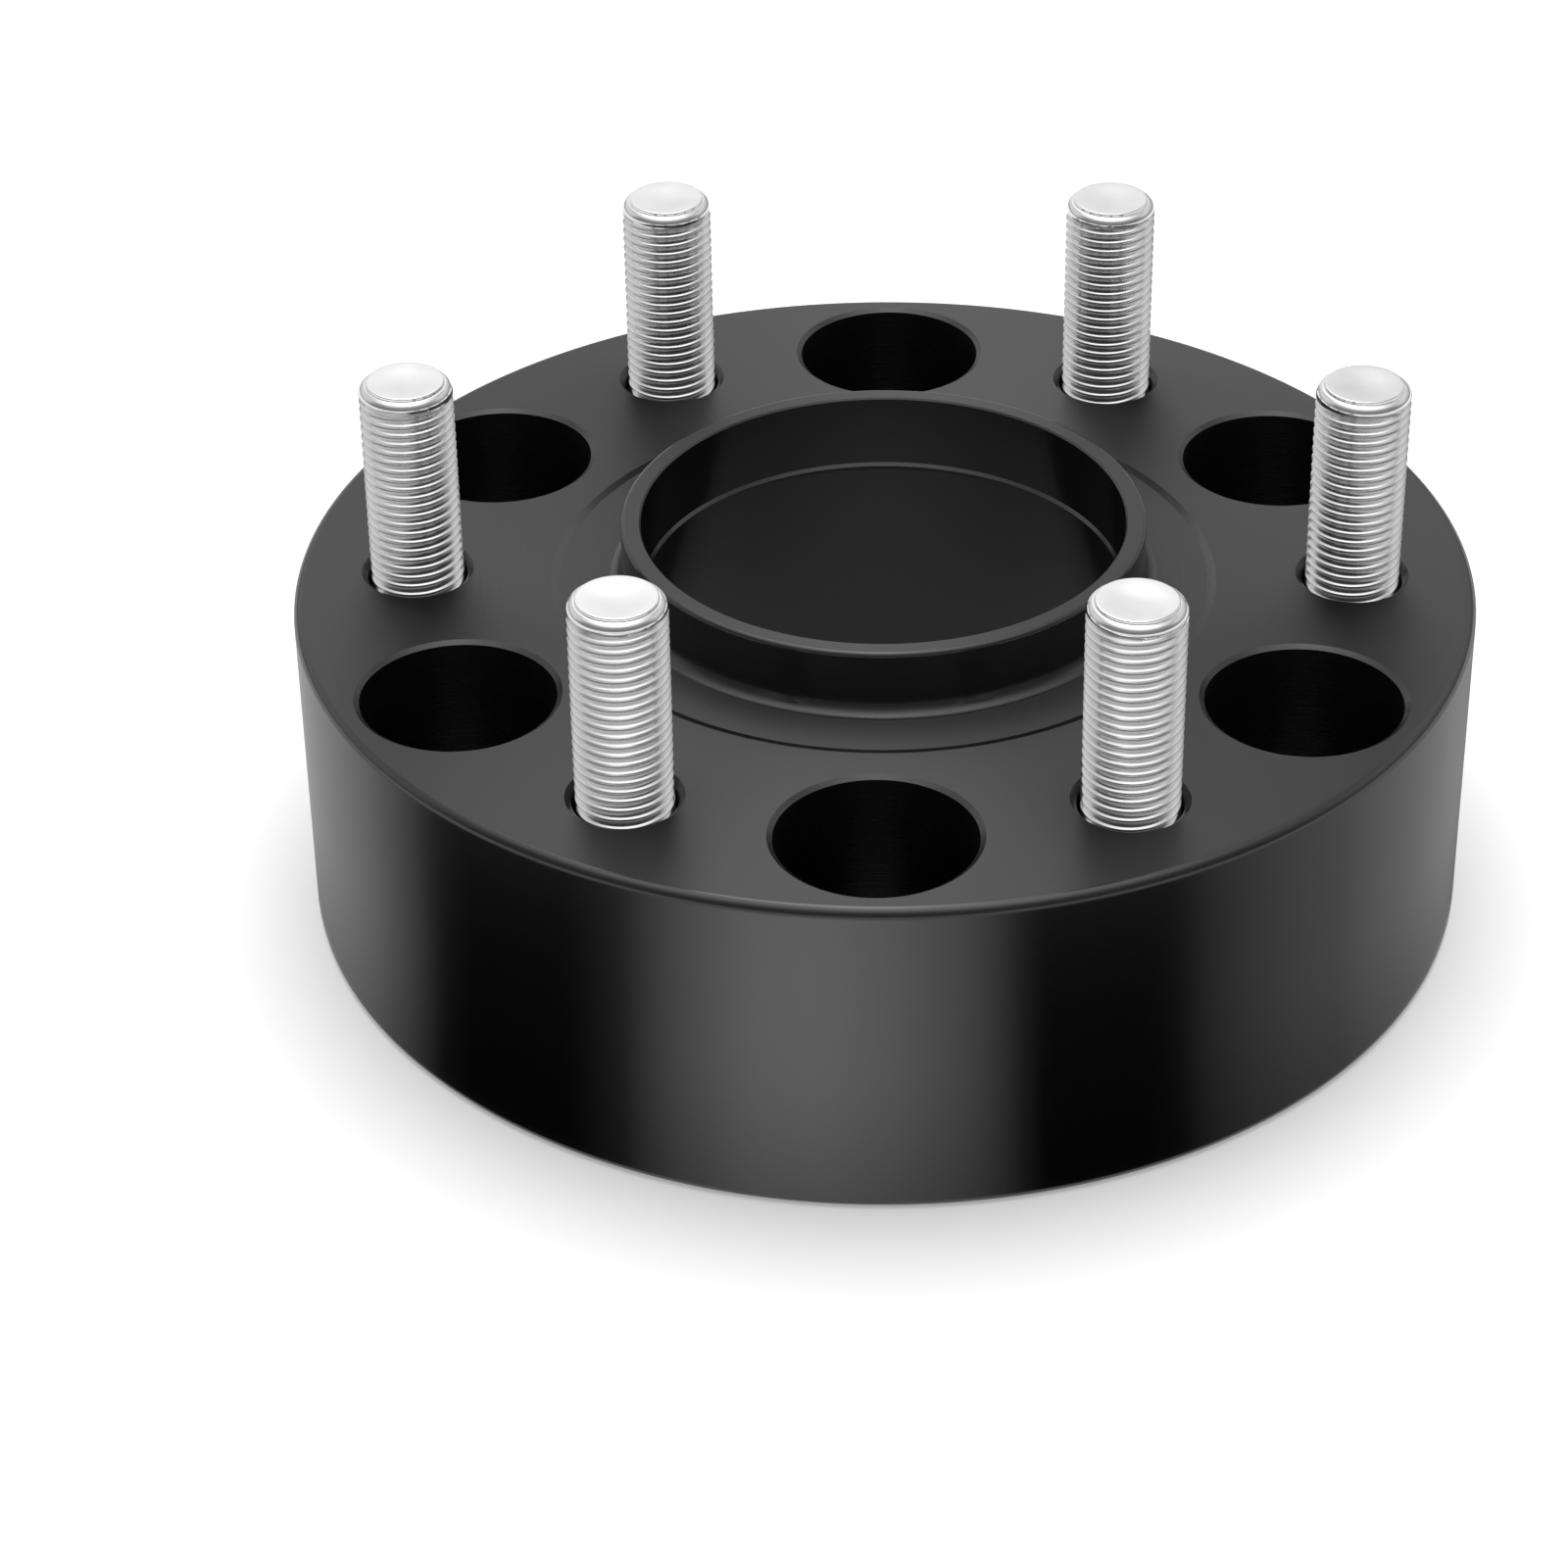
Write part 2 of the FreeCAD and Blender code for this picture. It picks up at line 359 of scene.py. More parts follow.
def blackAnodisedAluminium():
    # Black anodised aluminium, turned before it was dyed: the clear oxide lies over a dead black dye, so
    # all that the eye gets is a satin reflection, drawn out across the fine rings that the tool left
    look = anodisedLook
    material, tree = newMaterial("black anodised aluminium")
    place = addNode(tree, "ShaderNodeTexCoord").outputs["Object"]
    axes = addNode(tree, "ShaderNodeSeparateXYZ", None, {0: place})
    outwards = addNode(tree, "ShaderNodeCombineXYZ", None, {"X": axes.outputs["X"], "Y": axes.outputs["Y"]})
    radius = addNode(tree, "ShaderNodeVectorMath", {"operation": "LENGTH"}, {0: outwards}).outputs["Value"]
    normal = addNode(tree, "ShaderNodeNewGeometry").outputs["Normal"]
    facing = addNode(tree, "ShaderNodeSeparateXYZ", None, {0: normal})
    level = addNode(tree, "ShaderNodeMath", {"operation": "ABSOLUTE"}, {0: facing.outputs["Z"]})
    isFace = addNode(tree, "ShaderNodeMath", {"operation": "GREATER_THAN"}, {0: level, 1: look["faceLevel"]})
    # Tool feed: real turning is nearer 0.2 mm a turn, drawn at about 0.45 mm so that it shows
    along = addNode(tree, "ShaderNodeMix", {"data_type": "FLOAT"}, {
        0: isFace, 2: axes.outputs["Z"], 3: radius})
    rings = addNode(tree, "ShaderNodeTexNoise", {"noise_dimensions": "1D"}, {
        "W": along, "Scale": 1 / (look["feed"] * mm), "Detail": 2.0, "Roughness": 0.6})
    # Slow unevenness of the dye and the seal
    cloud = addNode(tree, "ShaderNodeTexNoise", None, {
        "Vector": place, "Scale": 1 / (look["cloudSize"] * mm), "Detail": 2.0})
    dye = addNode(tree, "ShaderNodeMix", {"data_type": "RGBA"}, {
        0: cloud.outputs["Fac"], 6: linearColour(look["dye"]), 7: linearColour(look["paleDye"])})
    # The pockets and stud holes are bored, and so duller than the walls that are turned
    inner, outer = look["bored"]
    isBored = addNode(tree, "ShaderNodeMath", {"operation": "COMPARE"}, {
        0: radius, 1: (inner + outer) / 2 * mm, 2: (outer - inner) / 2 * mm})
    upright = addNode(tree, "ShaderNodeMix", {"data_type": "FLOAT"}, {
        0: isBored, 2: look["wallRoughness"], 3: look["boredRoughness"]})
    base = addNode(tree, "ShaderNodeMix", {"data_type": "FLOAT"}, {
        0: isFace, 2: upright, 3: look["faceRoughness"]})
    ringRough = addNode(tree, "ShaderNodeMapRange", None, {
        "Value": rings.outputs["Fac"], "From Min": 0.3, "From Max": 0.7,
        "To Min": -look["ringRoughness"], "To Max": look["ringRoughness"]})
    rough = addNode(tree, "ShaderNodeMath", {"operation": "ADD"}, {0: base, 1: ringRough})
    bump = addNode(tree, "ShaderNodeBump", None, {
        "Strength": look["ringStrength"], "Distance": look["ringHeight"] * mm,
        "Height": rings.outputs["Fac"]})
    # The reflection is drawn out square to the tool's rings: outwards on a face, upright on a wall
    across = addNode(tree, "ShaderNodeMix", {"data_type": "VECTOR"}, {
        0: isFace, 4: (0.0, 0.0, 1.0), 5: outwards})
    tangent = addNode(tree, "ShaderNodeVectorMath", {"operation": "NORMALIZE"}, {0: across.outputs[1]})
    shader = addNode(tree, "ShaderNodeBsdfPrincipled", None, {
        "Base Color": dye.outputs[2], "Roughness": rough, "IOR": look["ior"],
        "Anisotropic": look["anisotropy"], "Normal": bump, "Tangent": tangent})
    addNode(tree, "ShaderNodeOutputMaterial", None, {"Surface": shader})
    return material


def bodySection(size):
    # The turned body with its lip, before any hole of the bolt circle is cut
    top = size["thickness"]
    lipTop = top + size["pilotHeight"]
    lipBore = size["pilotRadius"] - size["pilotWall"]
    shoulderTop = top - size["shoulderCover"]
    reliefFloor = top - size["reliefDepth"]
    reliefRadius = size["pilotRadius"] + size["reliefWidth"]
    bevel = size["shoulderBevel"]  # catches the light where the lip's bore ends
    return roundedSection([
        (size["hubBoreRadius"] + size["hubBoreLeadIn"], 0, 0),
        (size["radius"], 0, size["edgeRound"]),
        (size["radius"], top, size["edgeRound"]),
        (reliefRadius, top, 0),
        (reliefRadius - size["reliefRamp"], reliefFloor, 0),
        (size["pilotRadius"], reliefFloor, size["pilotRootRound"]),
        (size["pilotRadius"], lipTop, size["pilotEdgeRound"]),
        (lipBore + size["pilotInnerChamfer"], lipTop, 0),
        (lipBore, lipTop - size["pilotInnerChamfer"], 0),
        (lipBore, shoulderTop, 0),
        (lipBore - bevel, shoulderTop - bevel, 0),
        (size["hubBoreRadius"], shoulderTop - (size["hubBoreRadius"] - lipBore), 0),
        (size["hubBoreRadius"], size["hubBoreLeadIn"], 0),
    ])


def cutterSections(size, past=1.0):
    # Both cutters run past the faces that they open, so that no two faces lie in one plane
    top = size["thickness"]
    seatDepth = size["seatWidth"] / math.tan(math.radians(size["seatAngle"] / 2))
    slope = size["pocketChamferWidth"] / size["pocketChamferDepth"]
    pocket = [
        (0, -past),
        (size["boltHoleRadius"] + size["boltHoleChamfer"] + past, -past),
        (size["boltHoleRadius"], size["boltHoleChamfer"]),
        (size["boltHoleRadius"], size["pocketFloor"] - seatDepth),
        (size["boltHoleRadius"] + size["seatWidth"], size["pocketFloor"]),
        (size["pocketRadius"], size["pocketFloor"]),
        (size["pocketRadius"], top - size["pocketChamferDepth"]),
        (size["pocketRadius"] + size["pocketChamferWidth"] + past * slope, top + past),
        (0, top + past),
    ]
    studHole = [
        (0, -past),
        (size["headPocketRadius"] + size["headPocketChamfer"] + past, -past),
        (size["headPocketRadius"], size["headPocketChamfer"]),
        (size["headPocketRadius"], size["studSeat"]),
        (size["studHoleRadius"], size["studSeat"]),
        (size["studHoleRadius"], top - size["studHoleChamfer"]),
        (size["studHoleRadius"] + size["studHoleChamfer"] + past, top + past),
        (0, top + past),
    ]
    return {"Pocket": pocket, "Stud Hole": studHole}


def buildBody(anodised):
    size = bodySizes
    blank = turned("spacer blank", bodySection(size), anodised, size["turnSegments"])
    finishMesh(blank, size["sharpAngle"])
    cutters = {}
    for name, section in cutterSections(size).items():
        mesh = turned(name + " cutter", section, anodised, size["holeSegments"], closed=0)
        finishMesh(mesh, size["sharpAngle"])
        cutters[name] = bpy.data.objects.new(mesh.name, mesh)
        scene.collection.objects.link(cutters[name])
    body = runTree("spacer body", blank, boltCircleTree, {
        **cutters, "Count": size["count"], "Pitch Radius": size["pitchRadius"] * mm,
        "First Angle": math.radians(size["firstPocketAngle"]), "Material": anodised})
    for cutter in cutters.values():
        bpy.data.objects.remove(cutter)
    finishMesh(body, size["sharpAngle"])
    placePiece("spacerBody", body, "spacer_body")


buildBody(blackAnodisedAluminium())
print("spacer body placed")


# Wheel studs. Heights are over the back face; threadTurn is how far each stud is turned about its own
# axis, in degrees; tipEdge leads from the shoulder to the end, in steps out from it and down from the rim.
studSizes = {
    "seat": bodySizes["studSeat"],
    "headRadius": 10.4,
    "headThickness": 4.5,
    "headChamfer": 0.5,
    "knurlRadius": bodySizes["studHoleRadius"],
    "knurlDepth": 0.28,
    "knurlLength": 9.0,
    "knurlRunOut": 0.5,
    "crestRadius": 6.95,
    "rootRadius": 6.03,
    "pitch": 1.5,
    "threadFoot": 43.0,
    "threadEnd": 81.2,
    "fade": 0.9,
    "shoulderFoot": 81.1,
    "shoulderRadius": 5.84,
    "shoulderTop": 82.38,
    "shoulderSteps": 10,
    "tipTop": 82.79,
    "tipDiscRadius": 5.68,
    "tipEdge": ((0.12, 0.42), (0.09, 0.15), (0.06, 0.05), (0.0, 0.0)),
    "tipDish": 0.17,
    "segments": 96,
    "sharpAngle": 42.0,
    "threadTurn": (0.0, 140.0, 60.0, 220.0, 300.0, 100.0),
}

zincLook = {
    "crest": "#F5F5F5",
    # root is the crest's metal greyed: painted shade in the thread's groove
    "root": "#DEDEDE",
    "crestRoughness": 0.16,
    "rootRoughness": 0.21,
    # Share of the thread's depth at which the root's look ends and the crest's look is whole; the root's look
    # is a duller finish with a painted shade in the groove
    "shadeAndWear": (0.4, 0.95),
    "lineScale": 2.6,
    "lineDrift": 20.0,
    "lineHeight": 0.0035,
    "lineStrength": 0.6,
    "lineShades": (0.92, 1.06),
    "bloomScale": 300.0,
    "bloomShades": (1.0, 0.95),
}


def zincPlatedSteel():
    # Bright zinc over rolled steel: the dies burnish the crests to a clear pale metal and the flanks between
    # them stay duller, with faint lines that follow the thread. The flanks' greyer colour towards the root is
    # painted shade in the thread's groove
    look = zincLook
    material, tree = newMaterial("bright zinc plated steel")
    place = addNode(tree, "ShaderNodeTexCoord").outputs["Object"]
    flow = addNode(tree, "ShaderNodeAttribute", {"attribute_name": "flow"}).outputs["Vector"]
    polish = addNode(tree, "ShaderNodeAttribute", {"attribute_name": "polish"}).outputs["Fac"]
    # worn goes from 0 in the root to 1 on the crest: it sets the root's duller finish and its painted shade
    wornAndShaded = addNode(tree, "ShaderNodeMapRange", None, {
        "Value": polish, "From Min": look["shadeAndWear"][0], "From Max": look["shadeAndWear"][1]})
    # Die lines about 0.15 mm apart across the flank, and as long as a turn of the thread
    lines = addNode(tree, "ShaderNodeTexNoise", None, {
        "Vector": flow, "Scale": look["lineScale"], "Detail": 3.0, "Roughness": 0.7})
    streaks = addNode(tree, "ShaderNodeMapRange", None, {
        "Value": lines.outputs["Fac"], "From Min": 0.3, "From Max": 0.7,
        "To Min": look["lineShades"][0], "To Max": look["lineShades"][1]})
    # A thin bloom on the zinc, in patches of about 3 mm
    bloom = addNode(tree, "ShaderNodeTexNoise", None, {
        "Vector": place, "Scale": look["bloomScale"], "Detail": 3.0})
    clean = addNode(tree, "ShaderNodeMapRange", None, {
        "Value": bloom.outputs["Fac"], "From Min": 0.3, "From Max": 0.7,
        "To Min": look["bloomShades"][0], "To Max": look["bloomShades"][1]})
    # The root's colour is darker than the crest's: painted shade in the thread's groove
    root = addNode(tree, "ShaderNodeVectorMath", {"operation": "SCALE"}, {
        0: linearColour(look["root"])[:3], "Scale": streaks})
    crest = addNode(tree, "ShaderNodeVectorMath", {"operation": "SCALE"}, {
        0: linearColour(look["crest"])[:3], "Scale": clean})
    colour = addNode(tree, "ShaderNodeMix", {"data_type": "RGBA"}, {0: wornAndShaded, 6: root, 7: crest})
    rough = addNode(tree, "ShaderNodeMix", {"data_type": "FLOAT"}, {
        0: wornAndShaded, 2: look["rootRoughness"], 3: look["crestRoughness"]})
    bump = addNode(tree, "ShaderNodeBump", None, {
        "Strength": look["lineStrength"], "Distance": look["lineHeight"] * mm,
        "Height": lines.outputs["Fac"]})
    shader = addNode(tree, "ShaderNodeBsdfPrincipled", None, {
        "Base Color": colour.outputs[2], "Metallic": 1.0, "Roughness": rough, "Normal": bump})
    addNode(tree, "ShaderNodeOutputMaterial", None, {"Surface": shader})
    return material


def threadSection(size):
    # One pitch of an ISO thread, upwards from its crest: a narrow crest whose upper corner is worn off,
    # 60 degree flanks and a round root. Points are shares of the pitch and of the depth.
    pitch, crest, root = size["pitch"], size["crestRadius"], size["rootRadius"]
    shape = ((0.0, 0.0), (0.05, 0.0), (0.105, 0.085), (0.25, 0.493), (0.395, 0.9), (0.45, 0.98),
             (0.5375, 1.0), (0.625, 0.98), (0.68, 0.9), (0.9, 0.28), (1.0, 0.0))
    return [(crest - (crest - root) * share, pitch * along) for along, share in shape]


def shoulderPoint(size, height):
    # The rounded shoulder is a quarter of an ellipse
    up = max(height - size["shoulderFoot"], 0) / (size["shoulderTop"] - size["shoulderFoot"])
    wide = size["crestRadius"] - size["shoulderRadius"]
    return size["shoulderRadius"] + wide * math.sqrt(max(1 - up * up, 0)), height


def headSection(size):
    # Head, knurled shank and the plain ring that the thread starts from
    seat, knurlTop, ridge = size["seat"], size["seat"] + size["knurlLength"], size["knurlDepth"]
    headFoot = seat - size["headThickness"]
    return [
        (0, headFoot),
        (size["headRadius"] - size["headChamfer"], headFoot),
        (size["headRadius"], headFoot + size["headChamfer"]),
        (size["headRadius"], seat),
        (size["knurlRadius"], seat, ridge),
        (size["knurlRadius"], knurlTop - size["knurlRunOut"], ridge),
        (size["crestRadius"], knurlTop),
        (size["crestRadius"], size["threadFoot"]),
    ]


def tipSection(size):
    # From the thread's last ring over the shoulder to the end, which dips a little from its rim to its middle
    tall, disc, rim = size["shoulderTop"] - size["shoulderFoot"], size["tipDiscRadius"], size["tipTop"]
    joint = math.asin((size["threadEnd"] - size["shoulderFoot"]) / tall)
    shoulder = [shoulderPoint(size, size["threadEnd"])]
    for step in range(1, size["shoulderSteps"] + 1):
        angle = joint + (math.radians(90) - joint) * step / size["shoulderSteps"]
        shoulder.append(shoulderPoint(size, size["shoulderFoot"] + tall * math.sin(angle)))
    edge = [(disc + out, rim - down) for out, down in size["tipEdge"]]
    shares = (0.97, 0.9, 0.8, 0.7, 0.6, 0.5, 0.4, 0.3, 0.2, 0.1, 0.0)
    dish = [(disc * share, rim - size["tipDish"] * (1 + math.cos(math.pi * share)) / 2) for share in shares]
    return shoulder + edge + dish


def markThread(work, size):
    # flow turns once with every pitch and is all but constant along the thread, where it drifts slowly with
    # the height, for the lines that the dies leave; polish is 1 where the dies rub hardest, on the crests
    # and the tip, and 0 in the root, and the material also uses it for a painted shade in the thread's groove
    flow = work.verts.layers.float_vector.new("flow")
    polish = work.verts.layers.float.new("polish")
    for vert in work.verts:
        radius, height = math.hypot(vert.co.x, vert.co.y) / mm, vert.co.z / mm
        phase = math.tau * height / size["pitch"] - math.atan2(vert.co.y, vert.co.x)
        vert[flow] = (math.cos(phase), math.sin(phase), height / zincLook["lineDrift"])
        share = 1.0
        if height < size["threadEnd"] - 0.01:  # the last ring counts as tip
            crest = shoulderPoint(size, height)[0]
            share = (radius - size["rootRadius"]) / (crest - size["rootRadius"])
        vert[polish] = min(max(share, 0.0), 1.0)


def buildStud(zinc):
    # Head and shank, thread and tip share their rings, so that they join without a gap
    size = studSizes
    head = turned("stud head and shank", headSection(size), zinc, size["segments"], closed=0)
    tip = turned("stud tip", tipSection(size), zinc, size["segments"], closed=0)
    turns = (size["threadEnd"] - size["threadFoot"]) / size["pitch"] + 1
    thread = runTree("stud thread", sectionMesh("thread section", threadSection(size)), threadTree, {
        "Columns": math.ceil(turns * size["segments"]) + 1, "Segments": size["segments"],
        "Pitch": size["pitch"] * mm, "Crest Radius": size["crestRadius"] * mm,
        "Foot": size["threadFoot"] * mm, "End": size["threadEnd"] * mm, "Fade": size["fade"] * mm,
        "Shoulder Foot": size["shoulderFoot"] * mm, "Shoulder Top": size["shoulderTop"] * mm,
        "Shoulder Radius": size["shoulderRadius"] * mm, "Material": zinc})
    work = bmesh.new()
    for mesh in (head, thread, tip):
        work.from_mesh(mesh)
    markThread(work, size)
    stud = bpy.data.meshes.new("wheel stud")
    work.to_mesh(stud)
    work.free()
    stud.materials.append(zinc)
    finishMesh(stud, size["sharpAngle"])
    return stud


def placeStuds(zinc):
    stud = buildStud(zinc)
    reach = bodySizes["pitchRadius"] * mm
    for number in range(bodySizes["count"]):
        angle = math.radians(bodySizes["firstPocketAngle"] + (number + 0.5) * 360 / bodySizes["count"])
        spin = Matrix.Rotation(math.radians(studSizes["threadTurn"][number]), 4, "Z")
        away = Matrix.Translation((reach * math.cos(angle), reach * math.sin(angle), 0))
        mesh = stud.copy()
        mesh.name = "wheel stud %d" % (number + 1)
        mesh.transform(away @ spin)
        placePiece("wheelStud%d" % (number + 1), mesh, "wheel_stud_%d" % (number + 1))


placeStuds(zincPlatedSteel())
print("wheel studs placed")


# Floor, world, cards and light. Lengths in metres here, but in millimetres for the cards.
stageLook = {
    "floor": "#EEEEEE",
    "floorGlow": 0.24,
    "floorRadius": 6.0,
    "floorDrop": 0.00002,
    "worldLight": 0.55,
    "softboxPower": 9.5,
    "softboxPlace": (0.0, 0.18, 1.1),
    "softboxAim": (0.0, 0.0, 0.03),
    "softboxSize": 0.9,
    # What reflections see, by degrees over the floor and level: behind the object, on its left and right,
    # and before it
    "back": (
        (0, 0.8), (20, 0.85), (28, 0.93), (32, 1.0), (36, 1.15), (43, 2.5), (52, 3.5), (68, 3.1), (90, 2.3)),
    "left": ((0, 0.3), (8, 0.44), (16, 0.7), (28, 0.68), (45, 0.6), (60, 1.1), (76, 1.6), (90, 2.3)),
    "right": ((0, 0.3), (10, 0.34), (20, 0.56), (28, 0.66), (37, 0.72), (45, 0.5), (60, 0.85), (90, 2.3)),
    "front": ((0, 0.2), (16, 0.18), (40, 0.3), (52, 0.62), (64, 1.15), (76, 1.3), (90, 2.3)),
    # The bright part behind the object: its turn and its half width, in degrees
    "boxTurn": -7.0,
    "boxCore": 6.0,
    "boxEdge": 22.0,
    # Half widths over which front and back, and left and right, run into each other
    "frontBlend": 0.3,
    "sideBlend": 0.2,
}

cardLook = {
    # Degrees round the wall, and the level that is seen in it there
    "wall": (
        (-178, 0.62), (-172, 0.72), (-167, 0.64), (-154, 0.7), (-148, 0.64), (-142, 0.38), (-136, 0.03),
        (-132, 0.0), (-119, 0.0), (-114, 0.12), (-108, 0.75), (-101, 1.37), (-95, 1.5), (-88, 1.16),
        (-81, 0.68), (-75, 0.0), (-63, 0.0), (-60, 0.03), (-57, 0.17), (-52, 0.32), (-46, 0.43), (-40, 0.46),
        (-34, 0.58), (-22, 0.62), (-16, 0.58), (-12, 0.5), (-6, 0.36), (2, 0.3)),
    "step": 2,
    "gap": 0.3,
    # How far out each column of cards has its rows, and how far out the shade at the wall's foot ends, the
    # wall's own reflections end and the cards end
    "reaches": (0.4, 6.0, 14.0, 30.0, 60.0, 95.0, 112.0, 180.0, 260.0, 400.0),
    "footReach": 35.0,
    "wallReach": 100.0,
    "endReach": 300.0,
    "footShade": 0.55,
    "endFade": 4.0,
    # The grey card in front: its level, the half width of its even part and its fade, in degrees
    "grey": 0.65,
    "greyCore": 50.0,
    "greyFade": 10.0,
    # The card in the bore: its level, how much dimmer it is at its sides, and its rim's level and heights
    "bore": 0.275,
    "boreSides": 0.45,
    "boreRim": 0.085,
    "boreRimHeights": (9.0, 29.0),
    "boreRings": (0.25, 0.5, 0.8),
    "boreRimGap": 0.4,
    "boreSegments": 64,
}


def buildFloor():
    mesh = bpy.data.meshes.new("floor")
    work = bmesh.new()
    bmesh.ops.create_circle(work, cap_ends=True, segments=64, radius=stageLook["floorRadius"])
    bmesh.ops.translate(work, verts=work.verts, vec=(0, 0, -stageLook["floorDrop"]))
    work.to_mesh(mesh)
    work.free()
    # Matt white card. The glow is for the rays that see it and not for those that light the object.
    material, tree = newMaterial("pale studio floor")
    diffuse = addNode(tree, "ShaderNodeBsdfDiffuse", None, {"Color": linearColour(stageLook["floor"])})
    rays = addNode(tree, "ShaderNodeLightPath").outputs
    seen = addNode(tree, "ShaderNodeMath", {"operation": "MAXIMUM"}, {
        0: rays["Is Camera Ray"], 1: rays["Is Glossy Ray"]})
    seenThrough = addNode(tree, "ShaderNodeMath", {"operation": "MAXIMUM"}, {
        0: seen, 1: rays["Is Transmission Ray"]})
    strength = addNode(tree, "ShaderNodeMath", {"operation": "MULTIPLY"}, {
        0: seenThrough, 1: stageLook["floorGlow"]})
    glow = addNode(tree, "ShaderNodeEmission", None, {"Color": (1.0, 1.0, 1.0, 1.0), "Strength": strength})
    both = addNode(tree, "ShaderNodeAddShader", None, {0: diffuse, 1: glow})
    addNode(tree, "ShaderNodeOutputMaterial", None, {"Surface": both})
    mesh.materials.append(material)
    floor = bpy.data.objects.new("floor", mesh)
    scene.collection.objects.link(floor)


def addLevelRamp(tree, rise, stops):
    # A colour ramp from the floor up to straight overhead
    ramp = addNode(tree, "ShaderNodeValToRGB", None, {"Fac": rise})
    elements = ramp.color_ramp.elements
    while len(elements) < len(stops):
        elements.new(0.5)
    for element, (angle, level) in zip(elements, stops):
        element.position = angle / 90
        element.color = (level, level, level, 1.0)
    return ramp


def buildWorld():
    # White for the camera. In reflections it is a room that is bright overhead and behind the object,
    # paler beside it and dim before it.
    look = stageLook
    world = bpy.data.worlds.new("studio")
    scene.world = world
    world.use_nodes = True
    tree = world.node_tree
    tree.nodes.clear()
    rays = addNode(tree, "ShaderNodeLightPath").outputs
    direction = addNode(tree, "ShaderNodeTexCoord").outputs["Generated"]
    axes = addNode(tree, "ShaderNodeSeparateXYZ", None, {0: direction}).outputs
    slope = addNode(tree, "ShaderNodeMath", {"operation": "ARCSINE"}, {0: axes["Z"]})
    rise = addNode(tree, "ShaderNodeMath", {"operation": "DIVIDE"}, {0: slope, 1: math.pi / 2})
    levels = {side: addLevelRamp(tree, rise, look[side]) for side in ("back", "left", "right", "front")}
    around = addNode(tree, "ShaderNodeMath", {"operation": "ARCTAN2"}, {0: axes["X"], 1: axes["Y"]})
    off = addNode(tree, "ShaderNodeMath", {"operation": "SUBTRACT"}, {
        0: around, 1: math.radians(look["boxTurn"])})
    aside = addNode(tree, "ShaderNodeMath", {"operation": "ABSOLUTE"}, {0: off})
    inBox = addNode(tree, "ShaderNodeMapRange", {"interpolation_type": "SMOOTHSTEP"}, {
        "Value": aside, "From Min": math.radians(look["boxCore"]), "From Max": math.radians(look["boxEdge"]),
        "To Min": 1.0, "To Max": 0.0})
    inFront = addNode(tree, "ShaderNodeMapRange", {"interpolation_type": "SMOOTHSTEP"}, {
        "Value": axes["Y"], "From Min": -look["frontBlend"], "From Max": look["frontBlend"],
        "To Min": 1.0, "To Max": 0.0})
    onRight = addNode(tree, "ShaderNodeMapRange", {"interpolation_type": "SMOOTHSTEP"}, {
        "Value": axes["X"], "From Min": -look["sideBlend"], "From Max": look["sideBlend"]})
    beside = addNode(tree, "ShaderNodeMix", {"data_type": "FLOAT"}, {
        0: onRight, 2: levels["left"], 3: levels["right"]})
    room = addNode(tree, "ShaderNodeMix", {"data_type": "FLOAT"}, {0: inFront, 2: beside, 3: levels["front"]})
    mirrored = addNode(tree, "ShaderNodeMix", {"data_type": "FLOAT"}, {0: inBox, 2: room, 3: levels["back"]})
    unseen = addNode(tree, "ShaderNodeMix", {"data_type": "FLOAT"}, {
        0: rays["Is Glossy Ray"], 2: look["worldLight"], 3: mirrored})
    seen = addNode(tree, "ShaderNodeMath", {"operation": "MAXIMUM"}, {
        0: rays["Is Camera Ray"], 1: rays["Is Transmission Ray"]})
    strength = addNode(tree, "ShaderNodeMix", {"data_type": "FLOAT"}, {0: seen, 2: unseen, 3: 1.0})
    light = addNode(tree, "ShaderNodeBackground", None, {"Color": (1.0, 1.0, 1.0, 1.0), "Strength": strength})
    addNode(tree, "ShaderNodeOutputWorld", None, {"Surface": light})


def levelAt(stops, angle):
    for (low, lowLevel), (high, highLevel) in zip(stops, stops[1:]):
        if low <= angle <= high:
            return lowLevel + (highLevel - lowLevel) * (angle - low) / (high - low)
    return stops[-1][1]


def addWallCards(points, glows, faces):
    # Each column starts at the wall's foot and follows the line that the camera's ray takes off the wall
    look = cardLook
    first, last = look["wall"][0][0], look["wall"][-1][0]
    angles = range(first, last + 1, look["step"])
    start = bodySizes["radius"] + look["gap"]
    for angle in angles:
        level = levelAt(look["wall"], angle)
        cover = min((angle - first) / look["endFade"], (last - angle) / look["endFade"], 1.0)
        # In front, a grey card lies past the wall's own reflections, where the studs look
        offFront = abs(angle + 90) - look["greyCore"]
        inFront = min(max(1 - offFront / look["greyFade"], 0), 1)
        outer = level + (look["grey"] - level) * inFront
        here, away = math.radians(angle), math.radians(2 * angle + 90 - cameraView["azimuth"])
        for reach in look["reaches"]:
            x = start * math.cos(here) + reach * math.cos(away)
            y = start * math.sin(here) + reach * math.sin(away)
            points.append((x * mm, y * mm, look["gap"] * mm))
            shade = look["footShade"] + (1 - look["footShade"]) * min(reach / look["footReach"], 1)
            shown = level * shade if reach < look["wallReach"] else outer
            glows.append((shown, cover if reach < look["endReach"] else 0.0, 0.0, 1.0))
    rows = len(look["reaches"])
    for column in range(len(angles) - 1):
        for row in range(rows - 1):
            corner = column * rows + row
            faces.append((corner, corner + rows, corner + rows + 1, corner + 1))


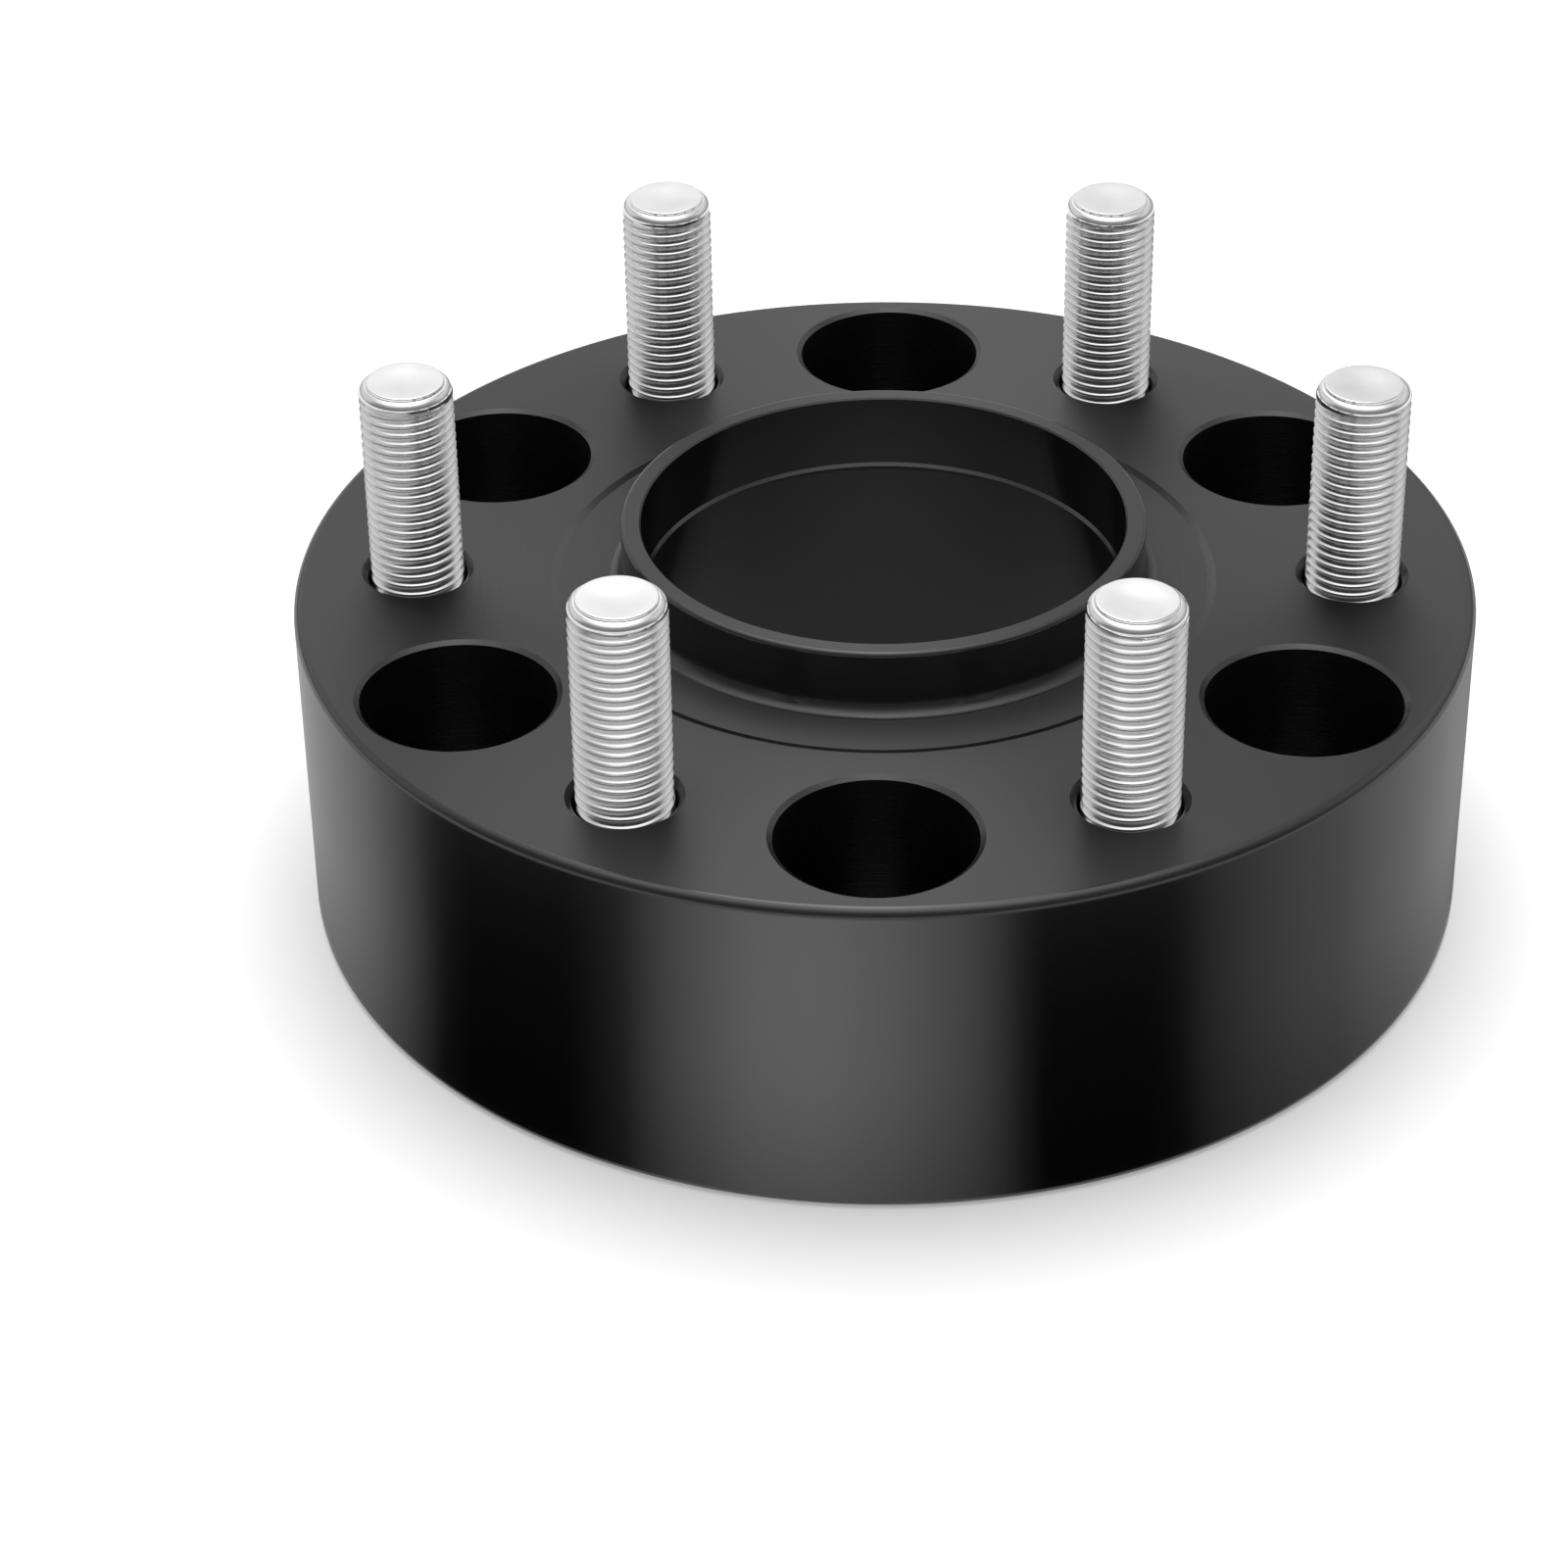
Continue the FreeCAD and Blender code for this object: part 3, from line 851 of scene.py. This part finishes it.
def addBoreCard(points, glows, faces):
    # The bore gets little light. Its card is dimmer to the left and right, and the card's rim stands up
    # along the wall, low at the back so that the wall's foot doesn't see it.
    look = cardLook
    first, count, bore = len(points), look["boreSegments"], bodySizes["hubBoreRadius"]
    lowRim, highRim = look["boreRimHeights"]
    radii = [bore * share for share in look["boreRings"]] + [bore - look["boreRimGap"]]
    for radius in radii:
        for index in range(count):
            angle = math.tau * index / count
            x, y = radius * math.cos(angle), radius * math.sin(angle)
            if radius == radii[-1]:
                height = lowRim + (highRim - lowRim) * min(2 * (1 - math.sin(angle)), 1)
                level = look["boreRim"]
            else:
                height = look["gap"]
                level = look["bore"] * (1 - look["boreSides"] * (x / bore) ** 2)
            points.append((x * mm, y * mm, height * mm))
            glows.append((level, 1.0, 0.0, 1.0))
    faces.append(tuple(range(first, first + count)))
    for ring in range(len(radii) - 1):
        inner = first + ring * count
        outer = inner + count
        for index in range(count):
            after = (index + 1) % count
            faces.append((inner + index, inner + after, outer + after, outer + index))


def buildCards():
    # Soft cards that lie on the floor and in the bore, and are seen only in reflections
    points, glows, faces = [], [], []
    addWallCards(points, glows, faces)
    addBoreCard(points, glows, faces)
    mesh = bpy.data.meshes.new("cards")
    mesh.from_pydata(points, [], faces)
    layer = mesh.color_attributes.new("glow", "FLOAT_COLOR", "POINT")
    for index, glow in enumerate(glows):
        layer.data[index].color = glow
    # Lit card: red is its level and green is how much of it is there
    material, tree = newMaterial("soft reflection card")
    glow = addNode(tree, "ShaderNodeAttribute", {"attribute_name": "glow"})
    parts = addNode(tree, "ShaderNodeSeparateColor", None, {0: glow}).outputs
    shine = addNode(tree, "ShaderNodeEmission", None, {
        "Color": (1.0, 1.0, 1.0, 1.0), "Strength": parts["Red"]})
    clear = addNode(tree, "ShaderNodeBsdfTransparent")
    both = addNode(tree, "ShaderNodeMixShader", None, {0: parts["Green"], 1: clear, 2: shine})
    addNode(tree, "ShaderNodeOutputMaterial", None, {"Surface": both})
    mesh.materials.append(material)
    cards = bpy.data.objects.new("cards", mesh)
    cards.visible_camera = cards.visible_diffuse = cards.visible_shadow = cards.visible_transmission = False
    scene.collection.objects.link(cards)


def addSoftbox():
    lamp = bpy.data.lights.new("overhead softbox", "AREA")
    lamp.shape = "DISK"
    lamp.size = stageLook["softboxSize"]
    lamp.energy = stageLook["softboxPower"]
    softbox = bpy.data.objects.new("overhead softbox", lamp)
    softbox.location = stageLook["softboxPlace"]
    softbox.rotation_mode = "QUATERNION"
    aim = Vector(stageLook["softboxAim"]) - Vector(softbox.location)
    softbox.rotation_quaternion = aim.to_track_quat("-Z", "Y")
    softbox.visible_glossy = False
    scene.collection.objects.link(softbox)


# Camera, matched to the photograph: the rings' ellipses, the bolt circle and the studs fix it
cameraView = {
    "azimuth": 2.38767,
    "elevation": 33.7104,
    "roll": -0.96099,
    "distance": 0.6745555,
    "target": (-0.015354, -0.000640, 0.012805),
    "lens": 100.2874,
    "sensorWidth": 36.0,
    "clip": (0.01, 30.0),
}


def buildCamera():
    turn, rise = math.radians(cameraView["azimuth"]), math.radians(cameraView["elevation"])
    right = Vector((math.cos(turn), math.sin(turn), 0))
    back = Vector((math.sin(turn) * math.cos(rise), -math.cos(turn) * math.cos(rise), math.sin(rise)))
    axes = Matrix((right, back.cross(right), back)).transposed().to_4x4()
    camera = bpy.data.objects.new("camera", bpy.data.cameras.new("camera"))
    camera.data.lens = cameraView["lens"]
    camera.data.sensor_width = cameraView["sensorWidth"]
    camera.data.clip_start, camera.data.clip_end = cameraView["clip"]
    place = Vector(cameraView["target"]) + back * cameraView["distance"]
    roll = Matrix.Rotation(math.radians(cameraView["roll"]), 4, "Z")
    camera.matrix_world = Matrix.Translation(place) @ axes @ roll
    scene.collection.objects.link(camera)
    scene.camera = camera


buildFloor()
buildWorld()
buildCards()
addSoftbox()
buildCamera()
scene.view_settings.view_transform = "Standard"
print("stage and camera set")
